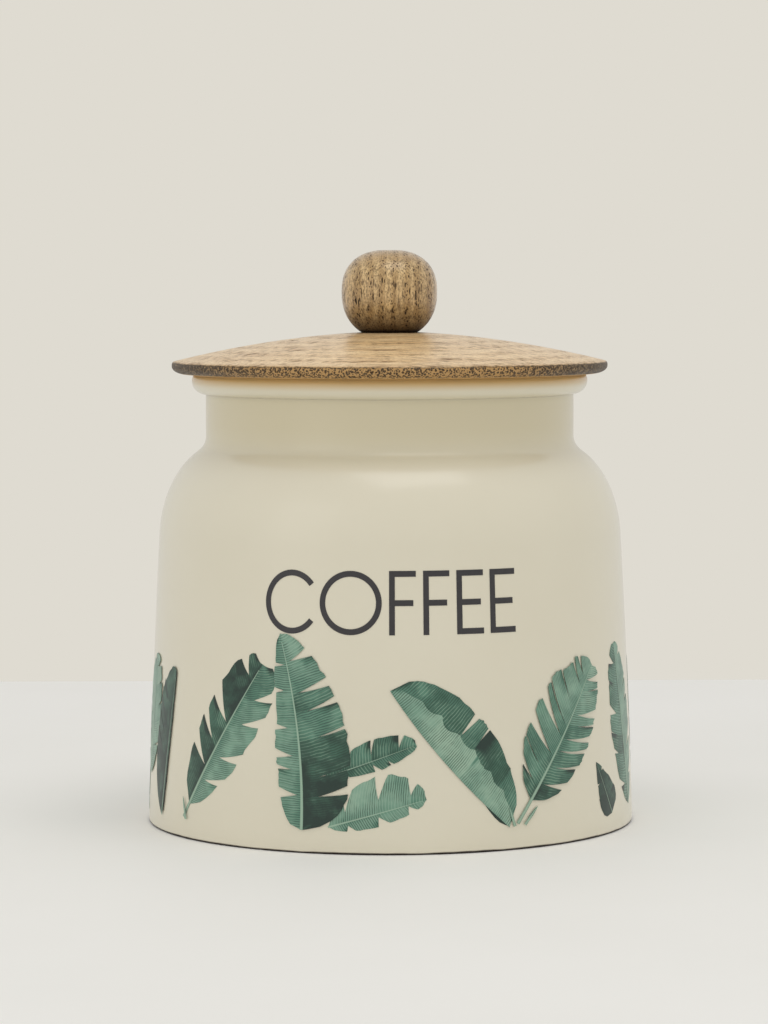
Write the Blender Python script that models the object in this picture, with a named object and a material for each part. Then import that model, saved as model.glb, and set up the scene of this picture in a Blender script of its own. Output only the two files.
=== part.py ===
"""A lidded coffee tin: a shouldered sheet-steel canister with a rolled rim and a let-in base,
closed by a turned wooden lid with a ball knob and a silicone seal.

Frame: metres, +Z up, the origin on the tin's axis, on the plane that it stands on.
Every piece is round about +Z. A profile is a list of (radius, height) points that is swept
round the axis. Touching pieces keep a small gap, so that each stays a solid of its own.
"""

import math

import bmesh
import bpy

MM = 0.001
GAP = 0.3 * MM  # left between pieces that rest on each other

# Driving dimensions of the tin. The shoulder is a quarter ellipse, up to its slope.
BASE_RADIUS = 65.4 * MM
SHOULDER_CENTRE = 44.1 * MM
SHOULDER_HEIGHT = 75.6 * MM
SHOULDER_REACH = 18.1 * MM
SHOULDER_RISE = 26.5 * MM
SHOULDER_SLOPE = math.radians(52)  # from upright, where the shoulder runs straight into the neck
WALL_LEAN = math.radians(3.1)  # of the slightly bowed wall, where it meets the shoulder
WALL_BOW = 0.25 * MM
NECK_RADIUS = 49.5 * MM
NECK_FILLET = 5.0 * MM
SHEET = 0.6 * MM

# The hem at the foot: the sheet turns under, and up again inside the base's skirt.
HEM_BEND = 0.8 * MM
HEM_WIDTH = 3.0 * MM
HEM_RETURN = 2.4 * MM

# The rolled rim, a hollow bead whose inner side is flush with the neck.
BEAD_REACH = 3.7 * MM  # how far it stands out from the neck
BEAD_MIDDLE = 118.6 * MM  # height of its widest point
BEAD_DROP = 3.5 * MM
BEAD_RISE = 2.5 * MM

# The let-in base.
PAN_FLOOR = 3.5 * MM  # height of its underside
PAN_BEND = 1.5 * MM

# The lid: a domed cover, and below it a plug that centres it in the neck.
LID_RADIUS = 58.6 * MM
LID_EDGE_BOTTOM = 120.5 * MM
LID_EDGE_TOP = 123.85 * MM
LID_CROWN = 131.4 * MM
LID_FLAT_RADIUS = 9.0 * MM  # level seat for the knob
LID_DOME_BULGE = 1.15 * MM  # how far the dome stands above a straight cone
EDGE_ROUND = 0.9 * MM  # upper corner of the lid's edge
EDGE_ROUND_TURN = 70  # degrees, up to where the dome's slope takes over
EDGE_UNDERCUT_WIDTH = 3.4 * MM  # long round below the edge
EDGE_UNDERCUT_HEIGHT = 2.0 * MM
RIM_CLEARANCE = 0.8 * MM  # between the lid's lip and the bead
PLUG_DEPTH = 11.0 * MM
PLUG_RADIUS = 47.0 * MM
PLUG_CHAMFER = 0.8 * MM

# The silicone seal, in a groove round the plug.
GROOVE_TOP_BELOW_RIM = 3.4 * MM
GROOVE_HEIGHT = 4.4 * MM
GROOVE_DEPTH = 2.2 * MM
SEAL_CORE = 1.0 * MM
SEAL_LIP = 0.7 * MM
SEAL_NOTCH = 0.3 * MM  # how far a lip's upper root stays below the next lip
SEAL_LIPS = 2

# The knob, a slightly squared ball with a flat top and a flat foot.
KNOB_RADIUS = 12.85 * MM
KNOB_HEIGHT = 21.8 * MM
KNOB_MIDDLE = 10.4 * MM  # widest point above its foot
KNOB_UPPER = 11.5 * MM  # half height of the whole curve above the widest point
KNOB_LOWER = 12.6 * MM
KNOB_UPPER_FULLNESS = 2.45  # 2 gives an ellipse, and more is squarer
KNOB_LOWER_FULLNESS = 2.2
KNOB_EDGE = 0.5 * MM
KNOB_HOLE_DEPTH = 12.6 * MM

# The screw that holds the knob, from below, and its washer.
SCREW_RADIUS = 1.9 * MM
SCREW_CLEARANCE = 0.4 * MM
SCREW_LENGTH = 29.0 * MM
SCREW_TIP = 2.5 * MM
HEAD_RADIUS = 4.0 * MM
HEAD_HEIGHT = 2.6 * MM
RECESS_SPAN = 4.2 * MM
RECESS_WIDTH = 1.0 * MM
RECESS_DEPTH = 1.4 * MM
WASHER_RADIUS = 5.2 * MM
WASHER_THICKNESS = 0.8 * MM
COUNTERBORE_RADIUS = 6.0 * MM
COUNTERBORE_DEPTH = 5.4 * MM

# Heights that follow from the dimensions above.
RIM_TOP = BEAD_MIDDLE + BEAD_RISE
SEAT = RIM_TOP + GAP  # the lid's underside, over the rim
PLUG_TOP = RIM_TOP
PLUG_BOTTOM = PLUG_TOP - PLUG_DEPTH
GROOVE_TOP = RIM_TOP - GROOVE_TOP_BELOW_RIM
GROOVE_BOTTOM = GROOVE_TOP - GROOVE_HEIGHT
KNOB_FOOT = LID_CROWN + GAP
COUNTERBORE_TOP = PLUG_BOTTOM + COUNTERBORE_DEPTH
WASHER_TOP = COUNTERBORE_TOP - GAP
HEAD_TOP = WASHER_TOP - WASHER_THICKNESS - GAP
HOLE_RADIUS = SCREW_RADIUS + SCREW_CLEARANCE

# Facets round the axis. Large pieces share one count, so their facets line up.
LARGE_STEPS = 48
KNOB_STEPS = 32
SMALL_STEPS = 16

# Facets along a profile's curves.
TIGHT_BEND_STEPS = 2
BEND_STEPS = 3
EDGE_STEPS = 4
SHOULDER_STEPS = 6
KNOB_CURVE_STEPS = 7
DOME_STEPS = 8

MERGE_DISTANCE = 0.001 * MM
CREASE_ANGLE = math.radians(35)  # sharper edges than this stay crisp


def clear_scene():
    for obj in list(bpy.data.objects):
        bpy.data.objects.remove(obj)


def finish_of(name, colour, roughness, metallic=0.0):
    """A material with a Principled BSDF; the colour is linear RGB."""
    material = bpy.data.materials.new(name)
    material.use_nodes = True
    shader = material.node_tree.nodes["Principled BSDF"]
    shader.inputs["Base Color"].default_value = (*colour, 1.0)
    shader.inputs["Roughness"].default_value = roughness
    shader.inputs["Metallic"].default_value = metallic
    return material


def on_ellipse(centre, radii, degrees):
    """The point of an ellipse at an angle from +radius towards +height."""
    angle = math.radians(degrees)
    return (centre[0] + radii[0] * math.cos(angle), centre[1] + radii[1] * math.sin(angle))


def arc(centre, radii, start, end, steps):
    """Points along an ellipse's arc, between two angles in degrees."""
    turn = (end - start) / steps
    return [on_ellipse(centre, radii, start + turn * step) for step in range(steps + 1)]


def between(start, end, share):
    return (
        start[0] + (end[0] - start[0]) * share,
        start[1] + (end[1] - start[1]) * share,
    )


def domed(start, end, bulge, steps):
    """A shallow arc from start to end that stands up to bulge above the straight line."""
    points = []
    for step in range(steps + 1):
        share = step / steps
        radius, height = between(start, end, share)
        points.append((radius, height + 4 * bulge * share * (1 - share)))
    return points


def squared_curve(middle, radii, fullness, height, steps):
    """The side of a squared ball from its widest point to a height above or below it."""
    direction = math.copysign(1, height)
    last = math.asin((abs(height) / radii[1]) ** (fullness / 2))
    points = []
    for step in range(steps + 1):
        angle = last * step / steps
        radius = radii[0] * math.cos(angle) ** (2 / fullness)
        rise = radii[1] * math.sin(angle) ** (2 / fullness)
        points.append((radius, middle + direction * rise))
    return points


def turned(name, outline, steps, material):
    """Sweeps a closed outline of (radius, height) points round +Z into one solid."""
    shape = bmesh.new()
    corners = [shape.verts.new((radius, 0.0, height)) for radius, height in outline]
    edges = [
        shape.edges.new((corner, corners[(i + 1) % len(corners)]))
        for i, corner in enumerate(corners)
        if max(corner.co.x, corners[(i + 1) % len(corners)].co.x) > 0.0
    ]
    bmesh.ops.spin(
        shape,
        geom=corners + edges,
        cent=(0, 0, 0),
        axis=(0, 0, 1),
        angle=math.tau,
        steps=steps,
        use_merge=True,
    )
    bmesh.ops.remove_doubles(shape, verts=shape.verts, dist=MERGE_DISTANCE)
    bmesh.ops.recalc_face_normals(shape, faces=shape.faces)
    mesh = bpy.data.meshes.new(name)
    shape.to_mesh(mesh)
    shape.free()
    mesh.shade_smooth()
    mesh.set_sharp_from_angle(angle=CREASE_ANGLE)
    mesh.materials.append(material)
    solid = bpy.data.objects.new(name, mesh)
    bpy.context.scene.collection.objects.link(solid)
    return solid


def wall_outline(inset):
    """The tin's wall, shoulder and neck, from the hem up, moved in by inset from the outside."""
    centre = (SHOULDER_CENTRE, SHOULDER_HEIGHT)
    radii = (SHOULDER_REACH, SHOULDER_RISE)
    proportion = SHOULDER_RISE / SHOULDER_REACH
    low = math.degrees(math.atan(proportion * math.tan(WALL_LEAN)))
    high = math.degrees(math.atan(proportion * math.tan(SHOULDER_SLOPE)))
    inner_radii = (SHOULDER_REACH - inset, SHOULDER_RISE - inset)
    shoulder = arc(centre, inner_radii, low, high, SHOULDER_STEPS)
    halfway = between((BASE_RADIUS - inset, HEM_BEND), shoulder[0], 0.5)
    # A straight slope runs on from the shoulder, and a fillet turns it upright.
    slope_start = on_ellipse(centre, radii, high)
    slope_end = NECK_RADIUS + NECK_FILLET * (1 - math.cos(SHOULDER_SLOPE))
    slope_rise = (slope_start[0] - slope_end) / math.tan(SHOULDER_SLOPE)
    neck_foot = slope_start[1] + slope_rise + NECK_FILLET * math.sin(SHOULDER_SLOPE)
    bend = NECK_FILLET + inset
    fillet = arc(
        (NECK_RADIUS + NECK_FILLET, neck_foot),
        (bend, bend),
        180 + math.degrees(SHOULDER_SLOPE),
        180,
        BEND_STEPS,
    )
    return [(halfway[0] + WALL_BOW, halfway[1])] + shoulder + fillet


def bead_outline(inset):
    """The bead's section from the neck's inner side over the top to its free lower end."""
    inner = NECK_RADIUS - SHEET
    outer = NECK_RADIUS + BEAD_REACH
    free_end = NECK_RADIUS + GAP
    over = arc(
        ((inner + outer) / 2, BEAD_MIDDLE),
        ((outer - inner) / 2 - inset, BEAD_RISE - inset),
        180,
        0,
        2 * BEND_STEPS,
    )
    under = arc(
        (free_end, BEAD_MIDDLE),
        (outer - free_end - inset, BEAD_DROP - inset),
        0,
        -90,
        EDGE_STEPS,
    )
    return over + under[1:]


def hem_outline(inset):
    """The hem from its free end inside the foot, down, outwards and up to the wall."""
    inner = BASE_RADIUS - HEM_WIDTH + inset
    outer = BASE_RADIUS - inset
    bend = HEM_BEND - inset
    turn_in = arc((inner + bend, HEM_BEND), (bend, bend), 180, 270, TIGHT_BEND_STEPS)
    turn_up = arc((outer - bend, HEM_BEND), (bend, bend), -90, 0, TIGHT_BEND_STEPS)
    return [(inner, HEM_RETURN)] + turn_in + turn_up


def make_body_shell(enamel):
    """One sheet: a hem to stand on, a tapering wall, a shoulder, a neck and a rolled bead.

    The bead curls outwards, so there the sheet's outer face is the inner side of the curl.
    """
    outside = hem_outline(0.0) + wall_outline(0.0) + bead_outline(SHEET)
    inside = hem_outline(SHEET) + wall_outline(SHEET) + bead_outline(0.0)
    return turned("body_shell", outside + inside[::-1], LARGE_STEPS, enamel)


def make_base_pan(enamel):
    """A shallow dish let into the foot, its skirt standing on the hem."""
    skirt = BASE_RADIUS - SHEET - 2 * GAP
    skirt_foot = SHEET + GAP
    inside_bend = PAN_BEND - SHEET
    bend_radius = skirt - PAN_BEND
    bend_height = PAN_FLOOR + SHEET - PAN_BEND
    centre = (bend_radius, bend_height)
    outline = [(0.0, PAN_FLOOR)]
    outline += arc(centre, (inside_bend, inside_bend), 90, 0, BEND_STEPS)
    outline += [(skirt - SHEET, skirt_foot), (skirt, skirt_foot)]
    outline += arc(centre, (PAN_BEND, PAN_BEND), 0, 90, BEND_STEPS)
    outline += [(0.0, PAN_FLOOR + SHEET)]
    return turned("base_pan", outline, LARGE_STEPS, enamel)


def make_lid_cover(wood):
    """The domed disc, with a rebate below that drops over the rim."""
    lip_inner = NECK_RADIUS + BEAD_REACH + RIM_CLEARANCE
    outline = [
        (HOLE_RADIUS, LID_CROWN),
        (HOLE_RADIUS, SEAT),
        (lip_inner, SEAT),
        (lip_inner, LID_EDGE_BOTTOM),
    ]
    outline += arc(
        (LID_RADIUS - EDGE_UNDERCUT_WIDTH, LID_EDGE_BOTTOM + EDGE_UNDERCUT_HEIGHT),
        (EDGE_UNDERCUT_WIDTH, EDGE_UNDERCUT_HEIGHT),
        -90,
        0,
        EDGE_STEPS,
    )
    outline += arc(
        (LID_RADIUS - EDGE_ROUND, LID_EDGE_TOP - EDGE_ROUND),
        (EDGE_ROUND, EDGE_ROUND),
        0,
        EDGE_ROUND_TURN,
        BEND_STEPS,
    )
    dome = domed(outline[-1], (LID_FLAT_RADIUS, LID_CROWN), LID_DOME_BULGE, DOME_STEPS)
    return turned("lid_cover", outline + dome[1:], LARGE_STEPS, wood)


def make_lid_plug(wood):
    """The inner disc that centres the lid, grooved for the seal and counterbored below."""
    groove_floor = PLUG_RADIUS - GROOVE_DEPTH
    outline = [
        (HOLE_RADIUS, PLUG_TOP),
        (HOLE_RADIUS, COUNTERBORE_TOP),
        (COUNTERBORE_RADIUS, COUNTERBORE_TOP),
        (COUNTERBORE_RADIUS, PLUG_BOTTOM),
        (PLUG_RADIUS - PLUG_CHAMFER, PLUG_BOTTOM),
        (PLUG_RADIUS, PLUG_BOTTOM + PLUG_CHAMFER),
        (PLUG_RADIUS, GROOVE_BOTTOM),
        (groove_floor, GROOVE_BOTTOM),
        (groove_floor, GROOVE_TOP),
        (PLUG_RADIUS, GROOVE_TOP),
        (PLUG_RADIUS, PLUG_TOP),
    ]
    return turned("lid_plug", outline, LARGE_STEPS, wood)


def make_lid_seal(silicone):
    """A ring that fills the groove, with soft lips that reach towards the neck's inner wall."""
    inner = PLUG_RADIUS - GROOVE_DEPTH + GAP
    core = inner + SEAL_CORE
    tip = NECK_RADIUS - SHEET - GAP
    top = GROOVE_TOP - GAP
    bottom = GROOVE_BOTTOM + GAP
    pitch = (top - bottom) / SEAL_LIPS
    outline = [(inner, top), (inner, bottom)]
    for lip in range(SEAL_LIPS):
        root = bottom + pitch * lip
        outline += [
            (core, root),
            (tip, root + pitch - SEAL_LIP),
            (tip, root + pitch - SEAL_LIP / 2),
            (core, root + pitch - SEAL_NOTCH),
        ]
    outline.append((core, top))
    return turned("lid_seal", outline, LARGE_STEPS, silicone)


def make_knob(wood):
    """A turned ball with a flat top and foot, and a pilot hole for the screw."""
    middle = KNOB_FOOT + KNOB_MIDDLE
    top = KNOB_FOOT + KNOB_HEIGHT
    lower = squared_curve(
        middle,
        (KNOB_RADIUS, KNOB_LOWER),
        KNOB_LOWER_FULLNESS,
        -KNOB_MIDDLE,
        KNOB_CURVE_STEPS,
    )
    upper = squared_curve(
        middle,
        (KNOB_RADIUS, KNOB_UPPER),
        KNOB_UPPER_FULLNESS,
        KNOB_HEIGHT - KNOB_MIDDLE - KNOB_EDGE,
        KNOB_CURVE_STEPS,
    )
    flat_edge = upper[-1][0] - 3 * KNOB_EDGE
    hole_top = KNOB_FOOT + KNOB_HOLE_DEPTH
    outline = [(0.0, hole_top), (HOLE_RADIUS, hole_top), (HOLE_RADIUS, KNOB_FOOT)]
    outline += lower[::-1] + upper[1:] + [(flat_edge, top), (0.0, top)]
    return turned("knob", outline, KNOB_STEPS, wood)


def make_screw_recess():
    """The cutter for the cross recess: two crossing bars, joined."""
    shape = bmesh.new()
    for span_x, span_y in ((RECESS_SPAN, RECESS_WIDTH), (RECESS_WIDTH, RECESS_SPAN)):
        made = bmesh.ops.create_cube(shape, size=1.0)
        bmesh.ops.scale(shape, vec=(span_x, span_y, 2 * RECESS_DEPTH), verts=made["verts"])
    mesh = bpy.data.meshes.new("screw_recess_cutter")
    shape.to_mesh(mesh)
    shape.free()
    cutter = bpy.data.objects.new("screw_recess_cutter", mesh)
    cutter.location = (0, 0, HEAD_TOP - HEAD_HEIGHT)
    cutter.hide_render = True
    cutter.display_type = "WIRE"
    bpy.context.scene.collection.objects.link(cutter)
    return cutter


def make_knob_screw(steel):
    """A pan-head screw that points up through the lid into the knob."""
    head_face = HEAD_TOP - HEAD_HEIGHT
    tip = HEAD_TOP + SCREW_LENGTH
    outline = [(0.0, head_face)]
    outline += arc(
        (HEAD_RADIUS - HEAD_HEIGHT / 2, head_face + HEAD_HEIGHT / 2),
        (HEAD_HEIGHT / 2, HEAD_HEIGHT / 2),
        -90,
        0,
        BEND_STEPS,
    )
    outline += [(HEAD_RADIUS, HEAD_TOP), (SCREW_RADIUS, HEAD_TOP)]
    outline += [(SCREW_RADIUS, tip - SCREW_TIP), (0.0, tip)]
    screw = turned("knob_screw", outline, SMALL_STEPS, steel)
    recess = screw.modifiers.new("cross recess", "BOOLEAN")
    recess.operation = "DIFFERENCE"
    recess.object = make_screw_recess()
    recess.use_self = True
    return screw


def make_knob_washer(steel):
    bottom = WASHER_TOP - WASHER_THICKNESS
    outline = [
        (HOLE_RADIUS, WASHER_TOP),
        (HOLE_RADIUS, bottom),
        (WASHER_RADIUS, bottom),
        (WASHER_RADIUS, WASHER_TOP),
    ]
    return turned("knob_washer", outline, SMALL_STEPS, steel)


def main():
    clear_scene()
    enamel = finish_of("cream_enamel", (0.66, 0.61, 0.47), 0.35)
    lid_wood = finish_of("mango_wood_lid", (0.48, 0.34, 0.21), 0.6)
    knob_wood = finish_of("mango_wood_knob", (0.32, 0.21, 0.12), 0.55)
    silicone = finish_of("clear_silicone", (0.75, 0.75, 0.72), 0.4)
    steel = finish_of("zinc_steel", (0.62, 0.62, 0.6), 0.35, 1.0)
    make_body_shell(enamel)
    make_base_pan(enamel)
    make_lid_cover(lid_wood)
    make_lid_plug(lid_wood)
    make_lid_seal(silicone)
    make_knob(knob_wood)
    make_knob_screw(steel)
    make_knob_washer(steel)


main()
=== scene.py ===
"""The looks of the coffee tin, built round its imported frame.

A cream enamelled body with a printed leaf border and plain lettering, and a lid of oiled wood
with a ball knob, a plug, a silicone seal and a screw. Lengths are in metres, +Z is up, and the
lettering faces -Y.
"""

import math

import bmesh
import bpy
import numpy as np
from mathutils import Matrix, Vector


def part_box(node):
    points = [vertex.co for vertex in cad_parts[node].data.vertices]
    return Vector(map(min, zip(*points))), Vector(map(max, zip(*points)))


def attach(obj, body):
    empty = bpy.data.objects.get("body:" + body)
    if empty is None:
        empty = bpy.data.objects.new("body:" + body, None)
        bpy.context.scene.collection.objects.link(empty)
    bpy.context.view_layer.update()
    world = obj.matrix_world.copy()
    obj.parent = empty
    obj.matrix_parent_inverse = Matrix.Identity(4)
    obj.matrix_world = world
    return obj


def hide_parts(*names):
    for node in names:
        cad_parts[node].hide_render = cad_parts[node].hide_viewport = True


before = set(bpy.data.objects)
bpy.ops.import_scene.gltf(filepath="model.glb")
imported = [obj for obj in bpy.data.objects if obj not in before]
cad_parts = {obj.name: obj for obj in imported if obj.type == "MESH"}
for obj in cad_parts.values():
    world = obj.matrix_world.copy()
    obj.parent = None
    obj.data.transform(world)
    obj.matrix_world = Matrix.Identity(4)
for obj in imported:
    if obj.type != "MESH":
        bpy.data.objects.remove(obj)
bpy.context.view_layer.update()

MM = 0.001
DEGREE = math.radians(1)
TURN = 2 * math.pi
X, Y, Z = 0, 1, 2

# Sizes that the frame gives.
shell_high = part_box("body_shell")[1]
pan_low, pan_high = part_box("base_pan")
cover_low, cover_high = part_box("lid_cover")
plug_low, plug_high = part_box("lid_plug")
seal_low, seal_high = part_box("lid_seal")
knob_low, knob_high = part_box("knob")
screw_low, screw_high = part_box("knob_screw")
washer_low, washer_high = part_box("knob_washer")
FOOT_RADIUS = shell_high.x
RIM_TOP = shell_high.z

# The tin's section, as the design has it.
SHEET = 0.6 * MM
GAP = 0.3 * MM  # between pieces that rest on each other
HEM_BEND = 0.8 * MM
HEM_WIDTH = 3.0 * MM
HEM_RETURN = 2.4 * MM
SHOULDER_CENTRE = (44.1 * MM, 75.6 * MM)
SHOULDER_RADII = (18.1 * MM, 26.5 * MM)
SHOULDER_SLOPE = 52  # degrees from upright, where the shoulder runs straight into the neck
WALL_LEAN = 3.1  # degrees, where the wall meets the shoulder
WALL_BOW = 0.25 * MM
NECK_RADIUS = 49.5 * MM
NECK_FILLET = 5.0 * MM
BEAD_REACH = 3.7 * MM
BEAD_RISE = 2.5 * MM
BEAD_DROP = 3.5 * MM
BEAD_MIDDLE = RIM_TOP - BEAD_RISE
PAN_BEND = 1.5 * MM
WALL_STEPS = 24
SHOULDER_STEPS = 24

# The lid's section.
RIM_CLEARANCE = 0.8 * MM
LIP_RADIUS = NECK_RADIUS + BEAD_REACH + RIM_CLEARANCE
EDGE_TOP = 123.85 * MM
EDGE_ROUND = 0.9 * MM
EDGE_ROUND_TURN = 70  # degrees, up to where the dome's slope takes over
EDGE_UNDERCUT = (3.4 * MM, 2.0 * MM)
DOME_BULGE = 1.15 * MM
DOME_STEPS = 40
KNOB_SEAT = 9.0 * MM
HOLE_RADIUS = 2.3 * MM
GROOVE_DEPTH = 2.2 * MM
COUNTERBORE_RADIUS = 6.0 * MM
KNOB_MIDDLE = 10.4 * MM  # widest point above the knob's foot
KNOB_UPPER = 11.5 * MM
KNOB_LOWER = 12.6 * MM
KNOB_UPPER_FULLNESS = 2.45  # 2 gives an ellipse, and more is squarer
KNOB_LOWER_FULLNESS = 2.2
KNOB_SINK = 0.02 * MM  # how far the knob's foot goes into the lid, so that no gap shows
SCREW_HOLE = 12.6 * MM  # its depth in the knob
SCREW_HEAD = 2.6 * MM
SCREW_SHANK = 1.9 * MM
SCREW_CONE = 2.5 * MM
SCREW_ROWS = 150
THREAD_START = screw_low.z + 9.0 * MM
THREAD_CORE = 0.72  # as a share of the shank
RECESS_SPAN = 4.2 * MM
RECESS_WIDTH = 1.0 * MM
RECESS_DEPTH = 1.4 * MM
RECESS_SPILL = 0.5 * MM  # how far the bars that cut the recess stand out of the face

CREASE_ANGLE = math.radians(32)


# --- Node trees ---


def maths(operation, reflected=False):
    """A method that adds a Math node; in a reflected form the wire is the second number."""

    def method(wire, value=0.0):
        first, second = (value, wire) if reflected else (wire, value)
        return wire.board.node("ShaderNodeMath", {"operation": operation}, {0: first, 1: second})

    return method


class Wire:
    """An output socket. Python's arithmetic on it adds Math nodes, and gives another wire."""

    def __init__(self, board, socket):
        self.board = board
        self.socket = socket

    __add__ = maths("ADD")
    __radd__ = maths("ADD", reflected=True)
    __sub__ = maths("SUBTRACT")
    __rsub__ = maths("SUBTRACT", reflected=True)
    __mul__ = maths("MULTIPLY")
    __rmul__ = maths("MULTIPLY", reflected=True)
    __truediv__ = maths("DIVIDE")
    __mod__ = maths("FLOORED_MODULO")
    __pow__ = maths("POWER")
    __gt__ = maths("GREATER_THAN")
    __lt__ = maths("LESS_THAN")
    __abs__ = maths("ABSOLUTE")
    floor = maths("FLOOR")
    sine = maths("SINE")
    cosine = maths("COSINE")
    at_least = maths("MAXIMUM")
    at_most = maths("MINIMUM")

    def other(self, name):
        """Another output of the same node."""
        return Wire(self.board, self.socket.node.outputs[name])

    def eased(self, low, high):
        """0 up to low, 1 from high on, and smooth between; low may be the larger one."""
        settings = {"interpolation_type": "SMOOTHSTEP"}
        inputs = {"Value": self, "From Min": low, "From Max": high}
        return self.board.node("ShaderNodeMapRange", settings, inputs)


class Board:
    """A node tree, with one method that adds any node to it."""

    def __init__(self, tree):
        self.tree = tree

    def node(self, kind, settings=None, inputs=None, output=0):
        """Adds a node, settings first, and gives its output; inputs are values or wires."""
        made = self.tree.nodes.new(kind)
        for name, value in (settings or {}).items():
            if name == "stops":
                set_stops(made.color_ramp, value)
            else:
                setattr(made, name, value)
        for name, value in (inputs or {}).items():
            if isinstance(value, Wire):
                self.tree.links.new(value.socket, made.inputs[name])
            else:
                made.inputs[name].default_value = value
        return Wire(self, made.outputs[output])

    def vector(self, x=0.0, y=0.0, z=0.0):
        return self.node("ShaderNodeCombineXYZ", None, {"X": x, "Y": y, "Z": z})

    def parts(self, vector):
        split = self.node("ShaderNodeSeparateXYZ", None, {"Vector": vector})
        return split, split.other("Y"), split.other("Z")

    def noise(self, vector, scale, detail=2.0, roughness=0.5):
        inputs = {"Vector": vector, "Scale": scale, "Detail": detail, "Roughness": roughness}
        return self.node("ShaderNodeTexNoise", None, inputs)

    def blend(self, factor, under, over):
        """A colour mixed from two; a Mix node's colours are inputs 6 and 7 and output 2."""
        settings = {"data_type": "RGBA"}
        return self.node("ShaderNodeMix", settings, {0: factor, 6: under, 7: over}, 2)


def set_stops(ramp, stops):
    """Sets a colour ramp's stops, given as (place, colour) pairs."""
    for place, _ in stops[2:]:
        ramp.elements.new(place)
    for element, (place, colour) in zip(ramp.elements, stops):
        element.position = place
        element.color = colour


def linear(red, green, blue):
    """A colour given in display values of 0 to 255, as the linear values that nodes take."""
    shares = (value / 255 for value in (red, green, blue))
    return (*(s / 12.92 if s <= 0.04045 else ((s + 0.055) / 1.055) ** 2.4 for s in shares), 1.0)


def new_tree(name, inputs):
    """A Geometry Nodes tree with named inputs, its board, and a wire from each input."""
    tree = bpy.data.node_groups.new(name, "GeometryNodeTree")
    tree.interface.new_socket("Geometry", in_out="INPUT", socket_type="NodeSocketGeometry")
    for label, kind in inputs.items():
        tree.interface.new_socket(label, in_out="INPUT", socket_type="NodeSocket" + kind)
    tree.interface.new_socket("Geometry", in_out="OUTPUT", socket_type="NodeSocketGeometry")
    board = Board(tree)
    start = board.node("NodeGroupInput")
    return board, {label: start.other(label) for label in ("Geometry", *inputs)}


def close_tree(board, geometry, material):
    """Every tree ends in plain geometry with its material."""
    plain = board.node("GeometryNodeRealizeInstances", None, {"Geometry": geometry})
    done = board.node("GeometryNodeSetMaterial", None, {"Geometry": plain, "Material": material})
    end = board.tree.nodes.new("NodeGroupOutput")
    board.tree.links.new(done.socket, end.inputs[0])
    return board.tree


def stored(board, geometry, **numbers):
    """Stores a number of each name on the geometry's points."""
    settings = {"data_type": "FLOAT", "domain": "POINT"}
    for name, value in numbers.items():
        inputs = {"Geometry": geometry, "Name": name, "Value": value}
        geometry = board.node("GeometryNodeStoreNamedAttribute", settings, inputs)
    return geometry


def named(board, name):
    """A number stored on the geometry under a name."""
    settings = {"data_type": "FLOAT"}
    return board.node("GeometryNodeInputNamedAttribute", settings, {"Name": name})


def moved(board, geometry, position):
    inputs = {"Geometry": geometry, "Position": position}
    return board.node("GeometryNodeSetPosition", None, inputs)


def joined(board, *geometries):
    join = board.tree.nodes.new("GeometryNodeJoinGeometry")
    for geometry in geometries:
        board.tree.links.new(geometry.socket, join.inputs[0])
    return Wire(board, join.outputs[0])


def grid_places(board, rows, columns):
    """A grid whose points run up the rows first, with each point's column and row."""
    index = board.node("GeometryNodeInputIndex")
    column = (index / rows).floor()
    grid = board.node("GeometryNodeMeshGrid", None, {"Vertices X": columns, "Vertices Y": rows})
    return grid, column, index - column * rows


def merged(board, geometry, distance):
    inputs = {"Geometry": geometry, "Distance": distance}
    return board.node("GeometryNodeMergeByDistance", None, inputs)


def grown(name, tree, start, inputs):
    """The plain mesh object that a tree makes from a starting mesh, with the tree taken off."""
    piece = bpy.data.objects.new(name, start)
    bpy.context.scene.collection.objects.link(piece)
    modifier = piece.modifiers.new(tree.name, "NODES")
    modifier.node_group = tree
    for item in tree.interface.items_tree:
        if item.in_out == "INPUT" and item.name in inputs:
            modifier[item.identifier] = inputs[item.name]
    graph = bpy.context.evaluated_depsgraph_get()
    done = piece.evaluated_get(graph)
    mesh = bpy.data.meshes.new_from_object(done, preserve_all_data_layers=True, depsgraph=graph)
    piece.modifiers.clear()
    piece.data = mesh
    mesh.name = name
    if volume_of(mesh) < 0:
        mesh.flip_normals()
    mesh.shade_smooth()
    mesh.set_sharp_from_angle(angle=CREASE_ANGLE)
    return piece


def volume_of(mesh):
    """A closed mesh's volume, which is negative when its faces point inwards."""
    mesh.calc_loop_triangles()
    places = np.empty(3 * len(mesh.vertices), np.float32)
    mesh.vertices.foreach_get("co", places)
    corners = np.empty(3 * len(mesh.loop_triangles), np.int32)
    mesh.loop_triangles.foreach_get("vertices", corners)
    triangles = places.reshape(-1, 3).astype(float)[corners.reshape(-1, 3)]
    return float(np.linalg.det(triangles).sum()) / 6


# --- Materials ---

ENAMEL_PALE = linear(230, 224, 205)
ENAMEL_DEEP = linear(224, 217, 196)
ENAMEL_NECK_SHADE = linear(213, 202, 169)  # painted shade and painted reflection of the lid's wood, on the neck under the lid
ENAMEL_WOOD_REFLECTION = linear(214, 177, 104)  # painted reflection of the lid's wood on the bead, under the lid
ENAMEL_SPECK = linear(150, 128, 92)
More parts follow.
